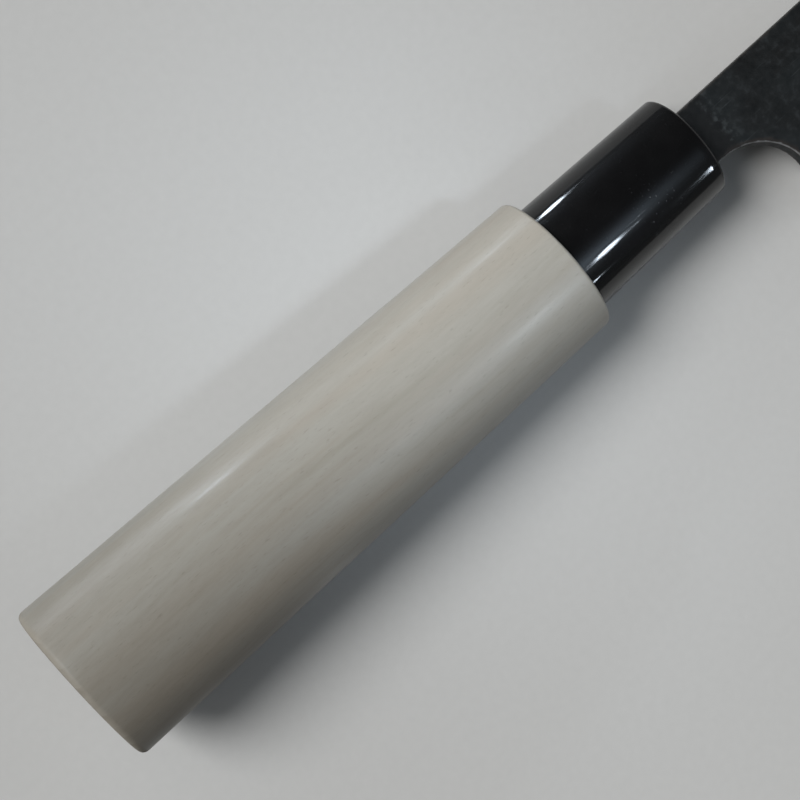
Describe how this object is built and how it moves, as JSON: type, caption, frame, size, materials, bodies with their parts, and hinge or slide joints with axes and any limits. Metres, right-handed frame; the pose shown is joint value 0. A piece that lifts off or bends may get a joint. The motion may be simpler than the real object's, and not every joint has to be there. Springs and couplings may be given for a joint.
{
  "type": "sabaki knife",
  "caption": "Japanese boning and fish knife: black-scaled laminated carbon steel blade, glossy black ferrule and oval pale magnolia-wood handle.",
  "frame": {"origin": "on the butt's flat end face, where the axis of the ferrule meets it, halfway through the thickness", "axes": "+X from the butt to the tip, parallel to the spine and to the handle's underside; +Y towards the spine; +Z out of the blade's right face, so the knife lies on its left side"},
  "size_m": [0.2726, 0.0505, 0.0214],
  "materials": {
    "magnolia_wood": "sanded, worn satin",
    "black_plastic": "moulded, glossy",
    "hard_steel": "stone-ground, bright",
    "scaled_iron": "black forge scale on the flats, hazy stone grind on the bevels"
  },
  "bodies": {
    "root": {"handle": "magnolia_wood", "ferrule": "black_plastic", "blade_core": "hard_steel", "blade_cladding_right": "scaled_iron", "blade_cladding_left": "scaled_iron"}
  },
  "joints": []
}
